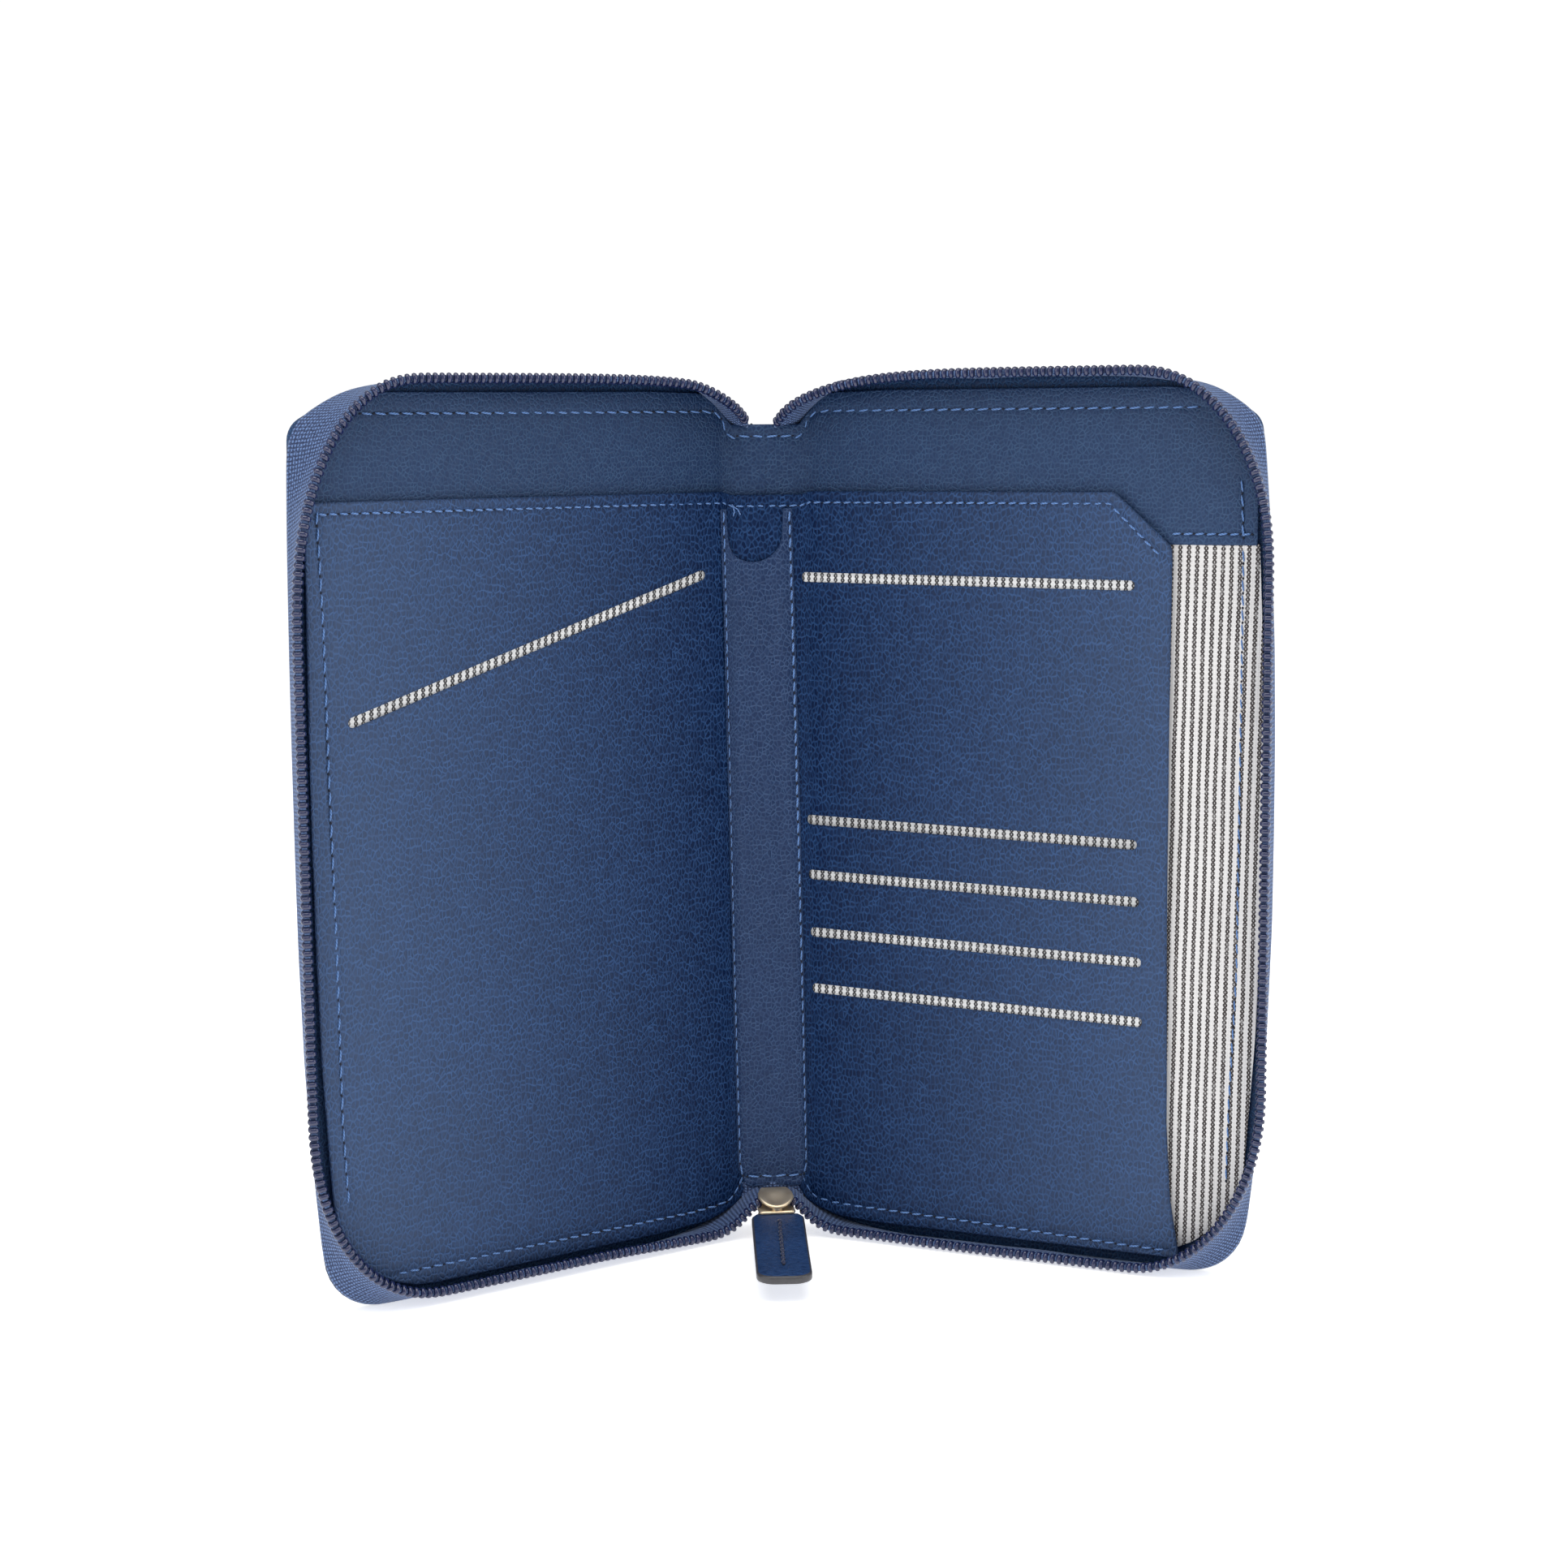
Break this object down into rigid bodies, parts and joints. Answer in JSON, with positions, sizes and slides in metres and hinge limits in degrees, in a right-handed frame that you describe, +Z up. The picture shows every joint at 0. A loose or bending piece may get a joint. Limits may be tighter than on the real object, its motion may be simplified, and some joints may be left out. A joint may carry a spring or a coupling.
{
  "type": "passport holder",
  "caption": "Zip-around leather passport holder that folds like a book, with pocket panels, card slots, a pen sleeve and a zipper slider with a leather pull.",
  "frame": {"origin": "centre of the object's box on the surface it stands on, with both covers folded 30 degrees from flat", "axes": "+X to the right along the open width, +Y from the open side towards the spine, +Z up along the spine"},
  "size_m": [0.2398, 0.0734, 0.226],
  "materials": {
    "leather": "pebbled",
    "pull_leather": "smooth with painted edge",
    "board": "pressed fibre board",
    "ticking": "striped woven",
    "zipper_tape": "woven",
    "zipper_coil": "moulded nylon",
    "thread": "twisted",
    "metal": "polished pale gold"
  },
  "bodies": {
    "spine": {"spine_shell": "leather", "spine_stay": "board", "spine_lining": "leather", "pocket_bridge": "leather", "pen_sleeve": "leather", "sleeve_left_seam": "thread", "sleeve_right_seam": "thread", "spine_top_seam": "thread", "spine_bottom_seam": "thread", "slider": "metal"},
    "left_cover": {"left_shell": "leather", "left_board": "board", "left_facing": "leather", "left_lining": "ticking", "left_pocket_panel": "leather", "left_slot_pocket": "ticking", "left_zipper_tape": "zipper_tape", "left_zipper_coil": "zipper_coil", "left_tape_ends": "zipper_tape", "left_coil_ends": "zipper_coil", "left_top_seam": "thread", "left_hem_seam": "thread", "left_edge_seam": "thread", "left_bottom_seam": "thread"},
    "right_cover": {"right_shell": "leather", "right_board": "board", "right_facing": "leather", "right_lining": "ticking", "right_pocket_panel": "leather", "card_pocket_1": "ticking", "card_pocket_2": "ticking", "card_pocket_3": "ticking", "card_pocket_4": "ticking", "card_pocket_5": "ticking", "right_zipper_tape": "zipper_tape", "right_zipper_coil": "zipper_coil", "right_tape_ends": "zipper_tape", "right_coil_ends": "zipper_coil", "right_top_seam": "thread", "right_hem_seam": "thread", "right_facing_seam": "thread", "right_lining_seam": "thread", "right_bottom_seam": "thread"},
    "pull": {"pull_loop": "metal", "pull_tab": "pull_leather", "pull_tab_seam": "thread"}
  },
  "joints": [
    {"name": "left_cover_fold", "type": "hinge", "parent": "spine", "child": "left_cover", "pos_m": [-0.011, 0.0355, 0.113], "axis": [0, 0, 1], "range_deg": [-30, 60], "deforming": ["left_tape_ends", "left_coil_ends"]},
    {"name": "right_cover_fold", "type": "hinge", "parent": "spine", "child": "right_cover", "pos_m": [0.011, 0.0355, 0.113], "axis": [0, 0, -1], "range_deg": [-30, 60], "deforming": ["right_tape_ends", "right_coil_ends"]},
    {"name": "pull_swing", "type": "hinge", "parent": "spine", "child": "pull", "pos_m": [0, 0.0245, 0.0065], "axis": [1, 0, 0], "range_deg": [0, 160]}
  ]
}
